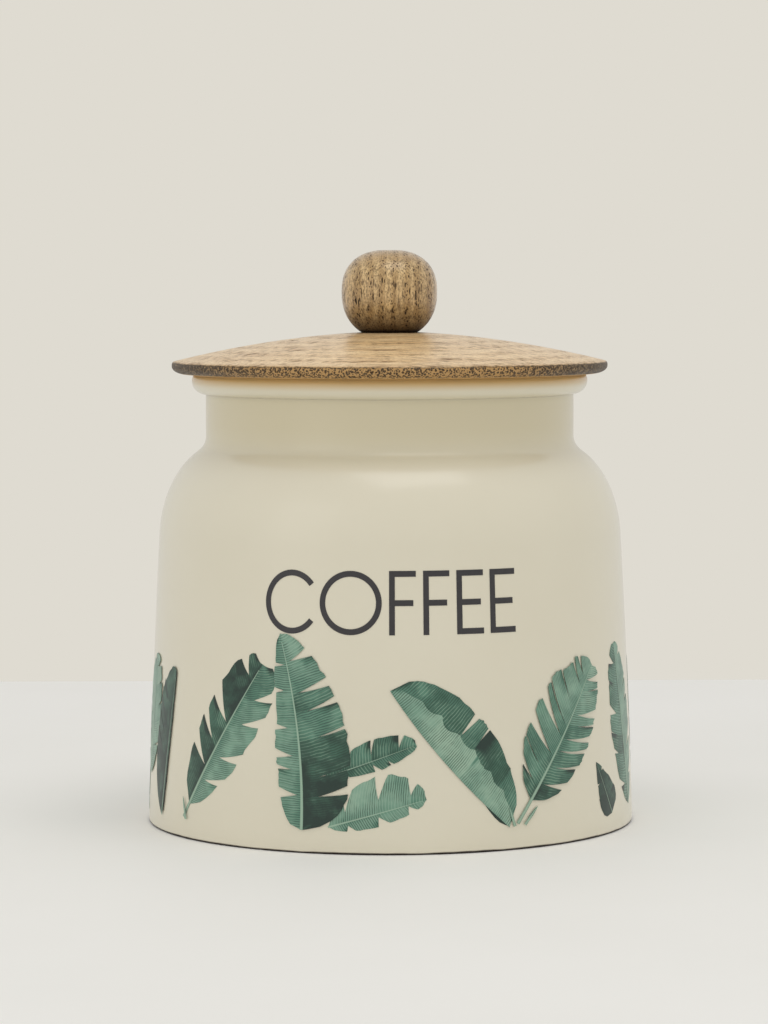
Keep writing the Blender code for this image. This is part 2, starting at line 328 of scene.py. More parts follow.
# bare brown metal at the foot's edge, darkened further by a painted contact shadow
BARE_FOOT_AND_SHADOW = linear(38, 24, 16)
LEAF_LIGHT = linear(158, 188, 166)
LEAF_SAGE = linear(124, 162, 142)
LEAF_MID = linear(88, 134, 114)
LEAF_DEEP = linear(54, 96, 78)
LEAF_DARK = linear(24, 50, 42)
LEAF_INKS = (LEAF_LIGHT, LEAF_SAGE, LEAF_MID, LEAF_DEEP, LEAF_DARK)
LEAF_STOPS = tuple(zip((0.0, 0.28, 0.55, 0.8, 1.0), LEAF_INKS))
LEAF_RIB = linear(160, 188, 166)
INK_DARK = linear(38, 36, 40)
INK_PALE = linear(54, 51, 54)
SILICONE_PALE = linear(238, 237, 230)
SILICONE_DEEP = linear(222, 221, 212)
ZINC_PALE = linear(214, 214, 208)
ZINC_GREY = linear(176, 176, 170)
TABLE_PALE = linear(248, 247, 245)
TABLE_DEEP = linear(242, 241, 238)
LID_PALETTE = dict(
    pale=linear(252, 221, 172), mid=linear(234, 198, 144), streak=linear(188, 148, 100),
    pore=linear(96, 62, 36), end=linear(196, 154, 102),
)
KNOB_PALETTE = dict(
    pale=linear(230, 197, 142), mid=linear(192, 157, 102), streak=linear(112, 82, 42),
    pore=linear(34, 18, 6), end=linear(172, 136, 86),
)
EDGE_BROWN = linear(184, 144, 90)
EDGE_GREY = linear(124, 104, 76)
# dark pores and lines, and the painted contact shadow round the knob's foot
EDGE_DOT = linear(34, 20, 10)
# painted bounce light on the wood under the lid's edge
UNDERSIDE_BOUNCE_GOLD = linear(214, 166, 98)
# darker wood and painted shade at the knob's foot
FOOT_BROWN_AND_SHADE = linear(44, 27, 10)
PORE_PITCHES = (0.8 * MM, 0.6 * MM, 0.5 * MM)
HATCH_PITCH = 0.58 * MM


def new_material(name, **constants):
    """A board for a new material, which keeps its shader, and Object coordinates."""
    material = bpy.data.materials.new(name)
    material.use_nodes = True
    board = Board(material.node_tree)
    board.material = material
    board.shader = material.node_tree.nodes["Principled BSDF"]
    for socket, value in constants.items():
        board.shader.inputs[socket.replace("_", " ")].default_value = value
    return board, board.node("ShaderNodeTexCoord", None, None, "Object")


def finished(board, **wires):
    """The board's material, with wires linked to its shader's sockets."""
    for socket, wire in wires.items():
        board.tree.links.new(wire.socket, board.shader.inputs[socket.replace("_", " ")])
    return board.material


def bump(board, height, strength, distance):
    inputs = {"Height": height, "Strength": strength, "Distance": distance}
    return board.node("ShaderNodeBump", None, inputs)


def cells(board, vector, pitch):
    """The distance from the nearest of some scattered points, and a random number for each."""
    inputs = {"Vector": vector, "Scale": 1 / pitch}
    near = board.node("ShaderNodeTexVoronoi", {"feature": "F1"}, inputs)
    return near, board.parts(near.other("Color"))[X]


def from_axis(x, y):
    return (x * x + y * y) ** 0.5


def attribute(board, name):
    return board.node("ShaderNodeAttribute", {"attribute_name": name}, None, "Fac")


def enamel():
    """Cream vitreous enamel: slow clouds, rare specks, a faint orange peel, a bare brown foot
    with a painted contact shadow, painted shade on the neck and a painted reflection of the lid's
    wood under the lid.
    """
    board, place = new_material("cream enamel", Coat_Roughness=0.18)
    x, y, height = board.parts(place)
    cloud = board.noise(place, 28.0, 3.0)
    colour = board.blend(cloud, ENAMEL_DEEP, ENAMEL_PALE)
    # painted shade and painted reflection of the lid's wood on the neck, under the lid's
    # overhang, weaker on the bead
    beaded = height.eased(BEAD_MIDDLE - BEAD_DROP - 1 * MM, BEAD_MIDDLE - BEAD_DROP + 1 * MM)
    neck_shade = height.eased(94 * MM, 108 * MM) * (1 - beaded * 0.7)
    colour = board.blend(neck_shade * 0.8, colour, ENAMEL_NECK_SHADE)
    radius = from_axis(x, y)
    # painted reflection of the lid's wood on the outer side of the bead, under the lid
    wood_reflection = height.eased(RIM_TOP - 4.2 * MM, RIM_TOP - 1.6 * MM)
    wood_reflection = wood_reflection * radius.eased(NECK_RADIUS + 1.4 * MM, NECK_RADIUS + 2.8 * MM)
    colour = board.blend(wood_reflection * 0.8, colour, ENAMEL_WOOD_REFLECTION)
    near, number = cells(board, place, 3.8 * MM)
    colour = board.blend((number > 0.985) * near.eased(0.08, 0.03) * 0.5, colour, ENAMEL_SPECK)
    uneven = board.noise(place, 120.0, 2.0)
    # the bare brown metal at the foot's edge, with a painted contact shadow on it
    bare_and_shadow = (height + (uneven - 0.5) * (0.5 * MM)).eased(0.75 * MM, 0.35 * MM)
    colour = board.blend(bare_and_shadow, colour, BARE_FOOT_AND_SHADOW)
    peel = board.noise(place, 900.0, 1.0)
    sag = board.noise(place, 55.0, 1.0)
    return finished(
        board,
        Base_Color=colour,
        Roughness=0.3 + cloud * 0.1 + bare_and_shadow * 0.4,
        Coat_Weight=0.5 - bare_and_shadow * 0.5,
        Normal=bump(board, peel * 0.06 + sag, 0.2, 0.3 * MM),
    )


def wood(name, grain, layer, layer_pitch, palette, run, gloss, stains_and_shade):
    """Oiled open-pored wood with its grain along one axis and growth layers across another.

    run is how far its pores run along the grain, and the last argument darkens the colour with
    stains and painted shade.
    """
    board, place = new_material(name, Specular_IOR_Level=0.3, Coat_Roughness=0.3)

    def drawn(share):
        """Object coordinates with lengths along the grain cut down to a share."""
        factors = tuple(share if axis == grain else 1.0 for axis in (X, Y, Z))
        settings = {"operation": "MULTIPLY"}
        return board.node("ShaderNodeVectorMath", settings, {0: place, 1: factors})

    bend = (board.noise(drawn(0.12), 32.0, 3.0) - 0.5) * (layer_pitch * 2.6)
    shiver = (board.noise(drawn(0.2), 260.0) - 0.5) * (layer_pitch * 0.9)
    rings = ((board.parts(place)[layer] + bend + shiver) * (TURN / layer_pitch)).sine()
    rings = (rings * 0.5 + 0.5).eased(0.1, 0.95)
    drift = board.noise(drawn(0.2), 85.0, 3.0)
    fibre = board.noise(drawn(0.4 * MM / run), 2400.0, 2.0)
    streak = board.noise(drawn(0.8 * MM / run), 1100.0, 3.0)
    grit = board.noise(drawn(0.6), 2600.0, 1.0)
    colour = board.blend(rings * 0.85, palette["pale"], palette["mid"])
    marks = ((drift, 0.45, 0.75, 0.4), (fibre, 0.45, 0.72, 0.5), (streak, 0.5, 0.72, 0.6))
    for mark, low, high, share in (*marks, (grit, 0.45, 0.65, 0.5)):
        colour = board.blend(mark.eased(low, high) * share, colour, palette["streak"])
    pores = 0.0
    for pitch, length in zip(PORE_PITCHES, (run * 2.2, run, run * 0.4)):
        near, number = cells(board, drawn(pitch / length), pitch)
        reach = 0.18 + number * 0.2
        pores = near.eased(reach, reach * 0.6) * (number > 0.3) + pores
    pores = pores.at_most(1.0)
    end_grain = attribute(board, "end_grain").eased(0.45, 0.95)
    colour = board.blend(end_grain * 0.6, colour, palette["end"])
    pores = pores * (rings * 0.5 + drift).at_most(1.0)
    colour = board.blend(pores, colour, palette["pore"])
    # stains and painted shade, with a mask of where they darken the wood
    colour, dark = stains_and_shade(board, place, colour)
    return finished(
        board,
        Base_Color=colour,
        Roughness=0.34 + pores * 0.35 + dark * 0.2,
        Coat_Weight=(1 - pores) * (1 - dark * 0.7) * gloss,
        Normal=bump(board, 1 - pores + fibre * 0.4 + grit * 0.5, 0.7, 0.12 * MM),
    )


def no_stains(board, place, colour):
    return colour, 0.0


def rim_stains_and_light(board, place, colour):
    """The lid's rim, darker from oil in the grain and from painted shade: brown at the ends of
    the grain, grey at the sides.
    """
    x, y, height = board.parts(place)
    ragged = (board.noise(place, 700.0, 2.0) - 0.5) * (0.9 * MM)
    radius = from_axis(x, y)
    # the rim's dark band: oil in the end grain, and painted shade on the edge, which faces
    # outwards and down
    rim = (height + ragged * 0.6).eased(EDGE_TOP + 0.05 * MM, EDGE_TOP - 0.45 * MM)
    rim = rim * radius.eased(LIP_RADIUS - 0.1 * MM, LIP_RADIUS + 0.4 * MM)
    around = (abs(x) / cover_high.x).eased(0.45, 0.95)
    edge_band = board.blend(around, EDGE_BROWN, EDGE_GREY)
    reach = around * 0.14 + 0.34
    dots = 0.0
    for pitch in (0.72 * MM, 0.5 * MM):
        near, number = cells(board, place, pitch)
        dots = near.eased(reach + 0.18, reach) * (number > 0.15) + dots
    edge_band = board.blend(dots.at_most(1.0) * 0.92, edge_band, EDGE_DOT)
    line = abs(height + ragged - (EDGE_TOP - 0.3 * MM)).eased(0.4 * MM, 0.1 * MM)
    edge_band = board.blend(line * 0.5, edge_band, EDGE_DOT)
    # painted bounce light on the underside of the rim's edge
    under = height.eased(cover_low.z + 0.35 * MM, cover_low.z + 0.05 * MM)
    edge_band = board.blend(under * 0.85, edge_band, UNDERSIDE_BOUNCE_GOLD)
    # painted contact shadow on the lid round the knob's foot
    contact_shadow = radius.eased(KNOB_SEAT + 0.1 * MM, KNOB_SEAT - 0.9 * MM)
    colour = board.blend(contact_shadow * 0.85, colour, EDGE_DOT)
    return board.blend(rim * 0.95, colour, edge_band), rim


def foot_darkening_and_shade(board, place, colour):
    """The knob's foot: darker wood and painted shade towards it, and a painted contact shadow
    where it meets the lid.
    """
    above = board.parts(place)[Z] - knob_low.z
    uneven = (board.noise(place, 240.0, 3.0) - 0.5) * (5 * MM)
    # darker wood and painted shade, up to 10 mm above the knob's foot
    foot = (above + uneven).eased(10 * MM, 0.0)
    # painted contact shadow where the knob meets the lid
    contact_shadow = above.eased(0.9 * MM, 0.0)
    colour = board.blend(foot * 0.85, colour, FOOT_BROWN_AND_SHADE)
    return board.blend(contact_shadow * 0.9, colour, EDGE_DOT), foot


def leaf_ink():
    """Printed green inks. Hatching and tones follow numbers stored on each leaf."""
    board, place = new_material(
        "leaf ink", Coat_Weight=0.2, Coat_Roughness=0.2, Specular_IOR_Level=0.45
    )
    names = ("across", "vein", "tone", "rib", "curl")
    across, vein, tone, rib, curl = (attribute(board, name) for name in names)
    wash = board.noise(place, 230.0, 3.0, 0.6)
    shake = (board.noise(place, 300.0, 1.0) - 0.5) * (0.6 * MM)
    shake = shake + (board.noise(place, 1500.0, 1.0) - 0.5) * (0.12 * MM)
    patches = board.noise(place, 190.0, 2.0)

    def hatching(pitch, low, high):
        return (((vein + shake) * (TURN / pitch)).sine() * 0.5 + 0.5).eased(low, high)

    out = abs(across)
    depth = tone + (wash - 0.5) * 0.5 + (1 - out).eased(0.7, 1.0) * 0.12 + curl * 0.5
    green = board.node("ShaderNodeValToRGB", {"stops": LEAF_STOPS}, {"Fac": depth})
    dark_lines = hatching(HATCH_PITCH, 0.45, 0.95) * patches.eased(0.3, 0.58)
    green = board.blend(dark_lines * 0.7, green, LEAF_DARK)
    light_lines = hatching(HATCH_PITCH * 1.37, 0.65, 1.0) * patches.eased(0.6, 0.42)
    green = board.blend(light_lines * depth.eased(1.0, 0.7) * 0.45, green, LEAF_LIGHT)
    green = board.blend(rib * (1 - out * 0.5), green, LEAF_RIB)
    return finished(
        board,
        Base_Color=green,
        Roughness=0.36 + wash * 0.14,
        Normal=bump(board, wash, 0.1, 0.05 * MM),
    )


def letter_ink():
    board, place = new_material("charcoal ink", Coat_Weight=0.2, Coat_Roughness=0.2)
    mottle = board.noise(place, 700.0, 3.0)
    return finished(
        board,
        Base_Color=board.blend(mottle, INK_DARK, INK_PALE),
        Roughness=0.32 + mottle * 0.16,
        Normal=bump(board, mottle, 0.1, 0.04 * MM),
    )


def silicone():
    board, place = new_material(
        "milky silicone", Subsurface_Weight=0.25, Subsurface_Scale=1.5 * MM
    )
    haze = board.noise(place, 160.0, 3.0)
    dust = board.noise(place, 1800.0, 1.0)
    return finished(
        board,
        Base_Color=board.blend(haze, SILICONE_DEEP, SILICONE_PALE),
        Roughness=0.36 + haze * 0.2,
        Normal=bump(board, dust, 0.15, 0.05 * MM),
    )


def zinc():
    """Zinc plate: crystalline patches of brightness over fine turning marks."""
    board, place = new_material("zinc plate", Metallic=1.0)
    shade = cells(board, place, 1.1 * MM)[1]
    x, y, _ = board.parts(place)
    rings = (from_axis(x, y) * (TURN / (0.12 * MM))).sine()
    return finished(
        board,
        Base_Color=board.blend(shade, ZINC_GREY, ZINC_PALE),
        Roughness=0.26 + shade * 0.16,
        Normal=bump(board, rings, 0.12, 0.02 * MM),
    )


def table_finish():
    board, place = new_material("pale table", Roughness=0.7)
    cloud = board.noise(place, 9.0, 4.0)
    return finished(board, Base_Color=board.blend(cloud, TABLE_DEEP, TABLE_PALE))


# --- Sections and turned pieces ---


def on_ellipse(centre, radii, degrees):
    """The point of an ellipse at an angle from +radius towards +height."""
    angle = math.radians(degrees)
    return (centre[0] + radii[0] * math.cos(angle), centre[1] + radii[1] * math.sin(angle))


def arc(centre, radii, start, end, steps):
    turn = (end - start) / steps
    return [on_ellipse(centre, radii, start + turn * step) for step in range(steps + 1)]


def corner(radius, height, size, start):
    """A quarter round of a given size whose middle is at (radius, height), turning onwards."""
    return arc((radius, height), (size, size), start, start + 90, 4)


def tangent_angle(degrees_from_upright):
    """The shoulder ellipse's angle where its side leans by so many degrees."""
    lean = math.tan(math.radians(degrees_from_upright))
    return math.degrees(math.atan(SHOULDER_RADII[1] / SHOULDER_RADII[0] * lean))


WALL_TOP = on_ellipse(SHOULDER_CENTRE, SHOULDER_RADII, tangent_angle(WALL_LEAN))


def wall_radius(height):
    """The wall's outer radius at a height, which may be a number or a wire."""
    share = (height - HEM_BEND) / (WALL_TOP[1] - HEM_BEND)
    straight = share * (WALL_TOP[0] - FOOT_RADIUS) + FOOT_RADIUS
    return straight + share * (1 - share) * (4 * WALL_BOW)


def shell_wall(inset):
    """The wall from the hem up, the shoulder and the neck's fillet, moved in by inset."""
    rise = WALL_TOP[1] - HEM_BEND
    heights = [HEM_BEND + rise * step / WALL_STEPS for step in range(1, WALL_STEPS)]
    wall = [(wall_radius(height) - inset, height) for height in heights]
    low, high = tangent_angle(WALL_LEAN), tangent_angle(SHOULDER_SLOPE)
    inner_radii = (SHOULDER_RADII[0] - inset, SHOULDER_RADII[1] - inset)
    shoulder = arc(SHOULDER_CENTRE, inner_radii, low, high, SHOULDER_STEPS)
    slope = math.radians(SHOULDER_SLOPE)
    slope_start = on_ellipse(SHOULDER_CENTRE, SHOULDER_RADII, high)
    slope_end = NECK_RADIUS + NECK_FILLET * (1 - math.cos(slope))
    slope_rise = (slope_start[0] - slope_end) / math.tan(slope)
    neck_foot = slope_start[1] + slope_rise + NECK_FILLET * math.sin(slope)
    bend = NECK_FILLET + inset
    centre = (NECK_RADIUS + NECK_FILLET, neck_foot)
    return wall + shoulder + arc(centre, (bend, bend), 180 + SHOULDER_SLOPE, 180, 10)


def shell_bead(inset):
    """The rolled bead from the neck's inner side over the top to its free lower end."""
    inner = NECK_RADIUS - SHEET
    outer = NECK_RADIUS + BEAD_REACH
    free_end = NECK_RADIUS + GAP
    over_radii = ((outer - inner) / 2 - inset, BEAD_RISE - inset)
    over = arc(((inner + outer) / 2, BEAD_MIDDLE), over_radii, 180, 0, 20)
    under_radii = (outer - free_end - inset, BEAD_DROP - inset)
    return over + arc((free_end, BEAD_MIDDLE), under_radii, 0, -90, 12)[1:]


def shell_hem(inset):
    inner = FOOT_RADIUS - HEM_WIDTH + inset
    outer = FOOT_RADIUS - inset
    bend = HEM_BEND - inset
    turn_in = corner(inner + bend, HEM_BEND, bend, 180)
    turn_up = corner(outer - bend, HEM_BEND, bend, -90)
    return [(inner, HEM_RETURN)] + turn_in + turn_up


def shell_section():
    outside = shell_hem(0.0) + shell_wall(0.0) + shell_bead(SHEET)
    inside = shell_hem(SHEET) + shell_wall(SHEET) + shell_bead(0.0)
    return outside + inside[::-1]


def pan_section():
    """The let-in base, with one shallow ring pressed up into its floor."""
    skirt, foot, top = pan_high.x, pan_low.z, pan_high.z
    bend = (skirt - PAN_BEND, top - PAN_BEND)
    ring, ring_width, ring_rise, steps = 46 * MM, 3 * MM, 0.35 * MM, 8
    humps = [
        (ring + ring_width * (step / steps - 0.5), ring_rise * math.sin(math.pi * step / steps))
        for step in range(steps + 1)
    ]
    lower = [(0.0, top - SHEET)]
    lower += [(radius, top - SHEET + rise) for radius, rise in humps]
    lower += arc(bend, (PAN_BEND - SHEET,) * 2, 90, 0, 8)
    lower += [(skirt - SHEET, foot), (skirt, foot)]
    upper = arc(bend, (PAN_BEND,) * 2, 0, 90, 8)
    upper += [(radius, top + rise - 0.02 * MM) for radius, rise in humps[::-1]]
    return lower + upper + [(0.0, top)]


def cover_section():
    """The domed disc: a rebate over the rim, a soft edge, a long shallow dome."""
    radius, bottom, crown = cover_high.x, cover_low.z, cover_high.z
    seat = plug_high.z + GAP
    nick = 0.25 * MM  # break on the lip's inner corner
    outline = [(HOLE_RADIUS, crown), (HOLE_RADIUS, seat), (LIP_RADIUS, seat)]
    outline += [(LIP_RADIUS, bottom + nick), (LIP_RADIUS + nick, bottom)]
    under = (radius - EDGE_UNDERCUT[0], bottom + EDGE_UNDERCUT[1])
    outline += arc(under, EDGE_UNDERCUT, -90, 0, 14)
    over = (radius - EDGE_ROUND, EDGE_TOP - EDGE_ROUND)
    outline += arc(over, (EDGE_ROUND,) * 2, 0, EDGE_ROUND_TURN, 10)
    start = outline[-1]
    for step in range(1, DOME_STEPS + 1):
        share = step / DOME_STEPS
        bulge = 4 * DOME_BULGE * share * (1 - share)
        place = start[0] + (KNOB_SEAT - start[0]) * share
        outline.append((place, start[1] + (crown - start[1]) * share + bulge))
    return outline


def plug_section():
    radius, bottom, top = plug_high.x, plug_low.z, plug_high.z
    floor = radius - GROOVE_DEPTH
    groove_top, groove_bottom = seal_high.z + GAP, seal_low.z - GAP
    counterbore = washer_high.z + GAP
    soft = 0.5 * MM
    outline = [(HOLE_RADIUS, top), (HOLE_RADIUS, counterbore), (COUNTERBORE_RADIUS, counterbore)]
    outline += [(COUNTERBORE_RADIUS, bottom + 0.2 * MM), (COUNTERBORE_RADIUS + 0.2 * MM, bottom)]
    outline += [(radius * share, bottom) for share in (0.3, 0.5, 0.7, 0.9)]
    outline += corner(radius - soft, bottom + soft, soft, -90)
    outline += [(radius, groove_bottom), (floor, groove_bottom), (floor, groove_top)]
    outline += [(radius, groove_top), (radius, top)]
    return outline


def seal_section():
    """A ring with two lips that sweep outwards and up."""
    inner, tip = plug_high.x - GROOVE_DEPTH + GAP, seal_high.x
    bottom, top = seal_low.z, seal_high.z
    core = inner + 1.0 * MM
    lips = 2
    pitch = (top - bottom) / lips
    outline = [(inner, top), (inner, bottom)]
    for lip in range(lips):
        root = bottom + pitch * lip
        end = root + pitch - 0.52 * MM
        outline += [(core, root)]
        outline += [
            (core + (tip - core) * share, root + (end - 0.16 * MM - root) * share**1.5)
            for share in (0.25, 0.5, 0.75, 0.92)
        ]
        outline += arc((tip - 0.17 * MM, end), (0.17 * MM,) * 2, -60, 90, 5)
        outline += [
            (core + (tip - core) * share, root + (end + 0.17 * MM - root) * share**1.1 + 0.1 * MM)
            for share in (0.6, 0.3)
        ]
        outline += [(core, root + 0.45 * MM)]
    outline.append((core, top))
    return outline


def squared_curve(middle, radii, fullness, height, steps):
    """The side of a squared ball from its widest point to a height above or below it."""
    direction = math.copysign(1, height)
    last = math.asin((abs(height) / radii[1]) ** (fullness / 2))
    points = []
    for step in range(steps + 1):
        angle = last * step / steps
        radius = radii[0] * math.cos(angle) ** (2 / fullness)
        rise = radii[1] * math.sin(angle) ** (2 / fullness)
        points.append((radius, middle + direction * rise))
    return points


def knob_section():
    """The ball knob, which stands on the lid with no gap to see."""
    middle = knob_low.z + KNOB_MIDDLE
    radius, top = knob_high.x, knob_high.z
    foot = cover_high.z - KNOB_SINK
    lower = squared_curve(middle, (radius, KNOB_LOWER), KNOB_LOWER_FULLNESS, foot - middle, 30)
    rise = top - middle - 0.02 * MM  # just short of the flat top, so that its edge stays round
    upper = squared_curve(middle, (radius, KNOB_UPPER), KNOB_UPPER_FULLNESS, rise, 36)
    edge = upper[-1][0]
    crown = [(edge * share, top) for share in (0.8, 0.5, 0.25, 0.0)]
    hole_top = knob_low.z + SCREW_HOLE
    outline = [(0.0, hole_top), (HOLE_RADIUS, hole_top), (HOLE_RADIUS, foot)]
    return outline + lower[::-1] + upper[1:] + crown


def washer_section():
    inner, outer = HOLE_RADIUS, washer_high.x
    bottom, top, soft = washer_low.z, washer_high.z, 0.15 * MM
    outline = [(inner, top), (inner, bottom)]
    outline += corner(outer - soft, bottom + soft, soft, -90)
    outline += corner(outer - soft, top - soft, soft, 0)
    return outline


def screw_section():
    """A pan head, a shank and a thread's core, cut fine enough to carry the thread."""
    face, tip = screw_low.z, screw_high.z
    head, seat, soft = screw_high.x, face + SCREW_HEAD, 1.3 * MM
    outline = [(0.0, face), (head * 0.45, face)]
    outline += arc((head - soft, face + soft), (soft, soft), -90, 0, 8)
    outline += [(head, seat - 0.1 * MM), (head - 0.1 * MM, seat), (SCREW_SHANK, seat)]
    for row in range(1, SCREW_ROWS):
        height = seat + (tip - seat) * row / SCREW_ROWS
        taper = min(1.0, (tip - height) / SCREW_CONE)
        core = THREAD_CORE * taper if height > THREAD_START else 1.0
        outline.append((SCREW_SHANK * core, height))
    return outline + [(0.0, tip)]


THREAD_INPUTS = ("Thread Depth", "Thread Pitch", "Thread Start", "Thread End")
NO_THREAD = (0.0, 1 * MM, 0.0, 0.0)


def turned_tree():
    """Sweeps a closed section, points at (radius, 0, height), round +Z."""
    numbers = dict.fromkeys(("Unevenness", *THREAD_INPUTS), "Float")
    kinds = {"Facets": "Int", "Grain": "Vector", "Material": "Material"}
    board, take = new_tree("turned piece", numbers | kinds)
    section, facets = take["Geometry"], take["Facets"]
    count = board.node("GeometryNodeAttributeDomainSize", None, {"Geometry": section})
    rows = count + 1
    grid, column, row = grid_places(board, rows, facets + 1)
    place = board.node("GeometryNodeInputPosition")
    settings = {"data_type": "FLOAT_VECTOR"}
    inputs = {"Geometry": section, "Value": place, "Index": row % count}
    point = board.node("GeometryNodeSampleIndex", settings, inputs)
    radius, _, height = board.parts(point)
    turn = column / facets
    ridge = 1 - abs(((height / take["Thread Pitch"] - turn) % 1.0) * 2 - 1)
    threaded = (height > take["Thread Start"]) * (take["Thread End"] - height).eased(0.0, 2 * MM)
    radius = radius + take["Thread Depth"] * ridge * threaded
    angle = turn * TURN

    def swept(radius):
        return board.vector(radius * angle.cosine(), radius * angle.sine(), height)

    sway = board.noise(swept(radius), 45.0, 2.0) - 0.5
    radius = radius + sway * take["Unevenness"] * (radius / (3 * MM)).at_most(1.0)
    solid = merged(board, moved(board, grid, swept(radius)), 0.001 * MM)
    inputs = {0: board.node("GeometryNodeInputNormal"), 1: take["Grain"]}
    facing = board.node("ShaderNodeVectorMath", {"operation": "DOT_PRODUCT"}, inputs, "Value")
    return close_tree(board, stored(board, solid, end_grain=abs(facing)), take["Material"])


def recess_tree():
    """Sinks a cross into the face of a screw, by taking two crossed bars from it."""
    board, take = new_tree("cross recess", {"Face": "Float", "Material": "Material"})
    middle = board.vector(0.0, 0.0, take["Face"] + (RECESS_DEPTH - RECESS_SPILL) / 2)
    depth = RECESS_DEPTH + RECESS_SPILL
    settings = {"operation": "DIFFERENCE", "solver": "EXACT"}
    cut = board.node("GeometryNodeMeshBoolean", settings, {"Mesh 1": take["Geometry"]})
    for size in ((RECESS_SPAN, RECESS_WIDTH, depth), (RECESS_WIDTH, RECESS_SPAN, depth)):
        bar = board.node("GeometryNodeMeshCube", None, {"Size": size})
        inputs = {"Geometry": bar, "Translation": middle}
        bar = board.node("GeometryNodeTransform", None, inputs)
        board.tree.links.new(bar.socket, cut.socket.node.inputs["Mesh 2"])
    return close_tree(board, cut, take["Material"])


def turned(
    name, tree, outline, material, facets=192, unevenness=0.0, grain=(0, 0, 0), thread=NO_THREAD
):
    """A turned piece. thread gives its depth, pitch, start and end."""
    section = bpy.data.meshes.new(name)
    section.from_pydata([(radius, 0.0, height) for radius, height in outline], [], [])
    inputs = {"Facets": facets, "Unevenness": unevenness, "Grain": grain, "Material": material}
    return grown(name, tree, section, inputs | dict(zip(THREAD_INPUTS, thread)))


# --- Prints on the wall ---

PRINT_RADIUS = wall_radius(30 * MM)  # where a print's width is true
FILM = 0.05 * MM
FILM_LIFT = 0.03 * MM
LAYER = 0.09 * MM  # how far each print in front of another stands off the wall
RIB_LIFT = (0.0, 0.025 * MM, 0.0)


def wrapped(board, flat):
    """Lays a flat print, x along the wall and z up, on the wall, and gives it a film's depth.

    A point's y is how far it stands off the wall. The front of the wall is at x = 0.
    """
    place = board.node("GeometryNodeInputPosition")
    along, lift, height = board.parts(place)
    angle = along / PRINT_RADIUS
    radius = wall_radius(height) + lift
    bent = board.vector(radius * angle.sine(), radius * angle.cosine() * -1, height)
    skin = moved(board, flat, bent)
    x, y, _ = board.parts(place)
    reach = from_axis(x, y)
    outwards = board.vector(x / reach * FILM, y / reach * FILM)
    inputs = {"Mesh": skin, "Offset": outwards, "Offset Scale": 1.0, "Individual": False}
    raised = board.node("GeometryNodeExtrudeMesh", {"mode": "FACES"}, inputs)
    under = board.node("GeometryNodeFlipFaces", None, {"Mesh": skin})
    return merged(board, joined(board, raised, under), 0.002 * MM)


def print_tree():
    board, take = new_tree("wall print", {"Material": "Material"})
    return close_tree(board, wrapped(board, take["Geometry"]), take["Material"])


# What a leaf is told besides its foot and its halves: the kind, the unit it is given in, and a
# usual value.
LEAF_NUMBERS = {
    "Lean": ("Float", DEGREE, 0),  # to the right of upright
    "Length": ("Float", MM, 0),
    "Bend": ("Float", 1, 0),  # of the midrib, as a share of the length
    "Lobes": ("Int", 1, 7),
    "Torn": ("Float", 1, 0.45),  # the share of neighbouring lobes that are torn apart
    "Tear": ("Float", 1, 0.4),  # how wide the tears open
    "Start": ("Float", 1, 0.25),  # how far out from the midrib the tears start
    "Slant": ("Float", 1, 0.55),  # of the veins, towards the tip
    "Belly": ("Float", 1, 0.8),  # below 1 the leaf is widest near its foot
    "Fullness": ("Float", 1, 0.6),  # a small number gives blunt ends
    "Ripple": ("Float", 1, 0),  # of the edge
    "Stem": ("Float", MM, 0),
    "Rib": ("Float", MM, 0.42),
    "Seed": ("Int", 1, 0),
}
LOBE_COLUMNS = 6
BLADE_ROWS = 14
RIB_ROWS = 40


def leaf_spot(board, take, share, sideways, onwards):
    """The wall place of a point sideways and onwards from the midrib's point at share."""
    bend, length, lean = take["Bend"], take["Length"], take["Lean"]
    heading = bend * share * 2
    side = bend * length * share * share + sideways + onwards * heading
    forward = length * share + onwards - sideways * heading
    foot_x, foot_lift, foot_z = board.parts(take["Foot"])
    x = foot_x + side * lean.cosine() + forward * lean.sine()
    z = foot_z + forward * lean.cosine() - side * lean.sine()
    return board.vector(x, foot_lift, z)


